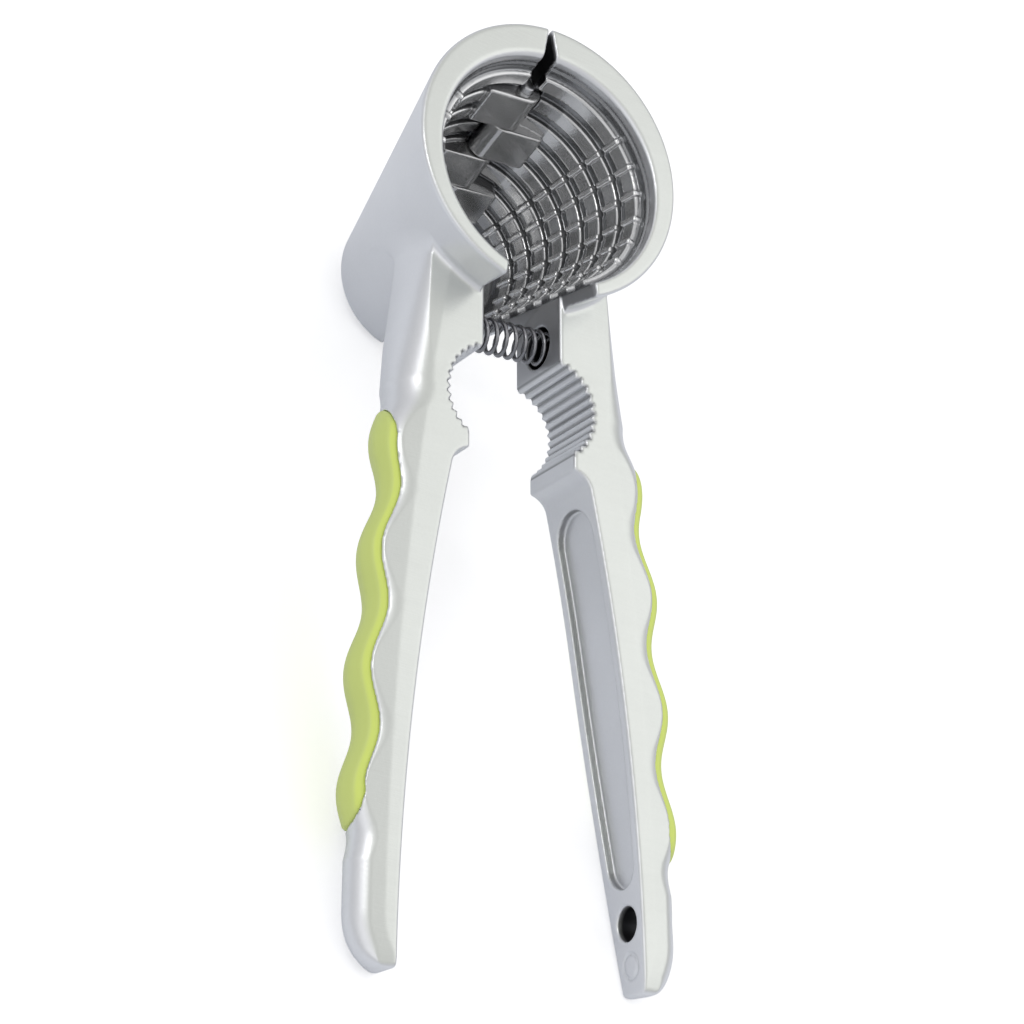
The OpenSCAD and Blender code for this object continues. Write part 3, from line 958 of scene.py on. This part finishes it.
def makePin():
    # a straight pin with softly peened ends
    bm = bmesh.new()
    profile = [(0.0, 0.0), (pin["radius"] * pin["domeFlat"], 0.0),
               (pin["radius"] - pin["domeIn"], pin["dome"] * pin["domeShare"]),
               (pin["radius"], pin["dome"])]
    profile += [(r, pin["length"] - h) for r, h in reversed(profile)]
    c, s = math.cos(hinge["slant"]), math.sin(hinge["slant"])
    rings = []
    for r, h in profile:
        deep = -(pin["from"] + h)
        ring = []
        for k in range(pin["sides"]):
            a = 2 * math.pi * k / pin["sides"]
            along = r * math.sin(a)
            place = (r * math.cos(a), hinge["place"] + along * c + deep * s, -along * s + deep * c)
            ring.append(bm.verts.new(place))
        rings.append(ring)
    joinRings(bm, rings)
    bmesh.ops.remove_doubles(bm, verts=bm.verts, dist=1e-5)
    obj = addTurned(bm, "hingePin", pinFinish)
    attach(obj, "left")
    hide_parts("hinge_pin")


makePin()
print("spring and pin")


studio = {
    "glow": 0.42,  # lifts the floor to white where the camera sees it
    "reflected": (0.82, 0.84, 0.88, 1),  # what the metal sees of the floor
    "zenith": (1.0, 1.0, 1.0, 1),
    "horizon": (0.68, 0.69, 0.71, 1),
    "rise": 1.25,  # how soon the sky reaches its zenith colour
    "strength": 0.72,
    "aim": (0, 0, 0.02),
}

floor = {
    "colour": (0.9, 0.9, 0.91, 1),
    "worn": (0.88, 0.88, 0.89, 1),
    "wear": 0.04,
    "roughness": 0.9,
    "specular": 0.1,
    "half": 2.5,
    "cells": 24,
    "sink": 0.0002,  # keeps the floor clear of the feet
}

lamps = {
    "key": {"place": (0.62, 0.0, 0.72), "size": 0.9, "power": 1.2},
    "fill": {"place": (-0.6, -0.5, 0.6), "size": 0.7, "power": 0.4},
    "glint": {"place": (-0.5, 0.1, 0.85), "size": 0.25, "power": 0.8},
}


def makeFloor():
    bm = bmesh.new()
    bmesh.ops.create_grid(bm, x_segments=floor["cells"], y_segments=floor["cells"], size=floor["half"])
    mesh = bpy.data.meshes.new("floor")
    bm.to_mesh(mesh)
    bm.free()
    obj = bpy.data.objects.new("floor", mesh)
    obj.location.z = -floor["sink"]
    scene.collection.objects.link(obj)
    mat, n, shader = newMaterial("paleFloor")
    path = n.add("ShaderNodeLightPath").outputs
    cloud = useGroup(n, cloudGroup, Size=4.0, Grain=60.0, GrainShare=0.2)
    plain = n.blend(n.maths("MULTIPLY", cloud["Value"], floor["wear"]), floor["colour"], floor["worn"])
    plug(n, shader, Base_Color=n.blend(path["Is Glossy Ray"], plain, studio["reflected"]),
         Emission_Strength=n.maths("MULTIPLY", path["Is Camera Ray"], studio["glow"]))
    shader.inputs["Emission Color"].default_value = (1, 1, 1, 1)
    shader.inputs["Roughness"].default_value = floor["roughness"]
    shader.inputs["Specular IOR Level"].default_value = floor["specular"]
    mesh.materials.append(mat)


def makeLamp(name, lamp):
    data = bpy.data.lights.new(name, "AREA")
    data.shape = "DISK"
    data.size = lamp["size"]
    data.energy = lamp["power"]
    obj = bpy.data.objects.new(name, data)
    obj.location = lamp["place"]
    toAim = Vector(studio["aim"]) - Vector(lamp["place"])
    obj.rotation_euler = toAim.to_track_quat("-Z", "Y").to_euler()
    scene.collection.objects.link(obj)


def makeWorld():
    world = bpy.data.worlds.new("studio")
    world.use_nodes = True
    world.node_tree.nodes.clear()
    n = Nodes(world.node_tree)
    place = n.add("ShaderNodeTexCoord").outputs["Generated"]
    height = n.add("ShaderNodeSeparateXYZ", {0: place}).outputs[2]
    share = n.maths("MULTIPLY", n.maths("MAXIMUM", height, 0.0), studio["rise"], clamp=True)
    sky = n.blend(share, studio["horizon"], studio["zenith"])
    camRay = n.add("ShaderNodeLightPath").outputs["Is Camera Ray"]
    white = 1 / studio["strength"]  # what the camera sees behind the floor is plain white
    backdrop = n.blend(camRay, sky, (white, white, white, 1))
    back = n.add("ShaderNodeBackground", {"Color": backdrop, "Strength": studio["strength"]})
    out = n.add("ShaderNodeOutputWorld")
    n.tree.links.new(back.outputs[0], out.inputs[0])
    scene.world = world


makeFloor()
makeWorld()
for name, lamp in lamps.items():
    makeLamp(name, lamp)
scene.view_settings.view_transform = "Standard"
print("studio")
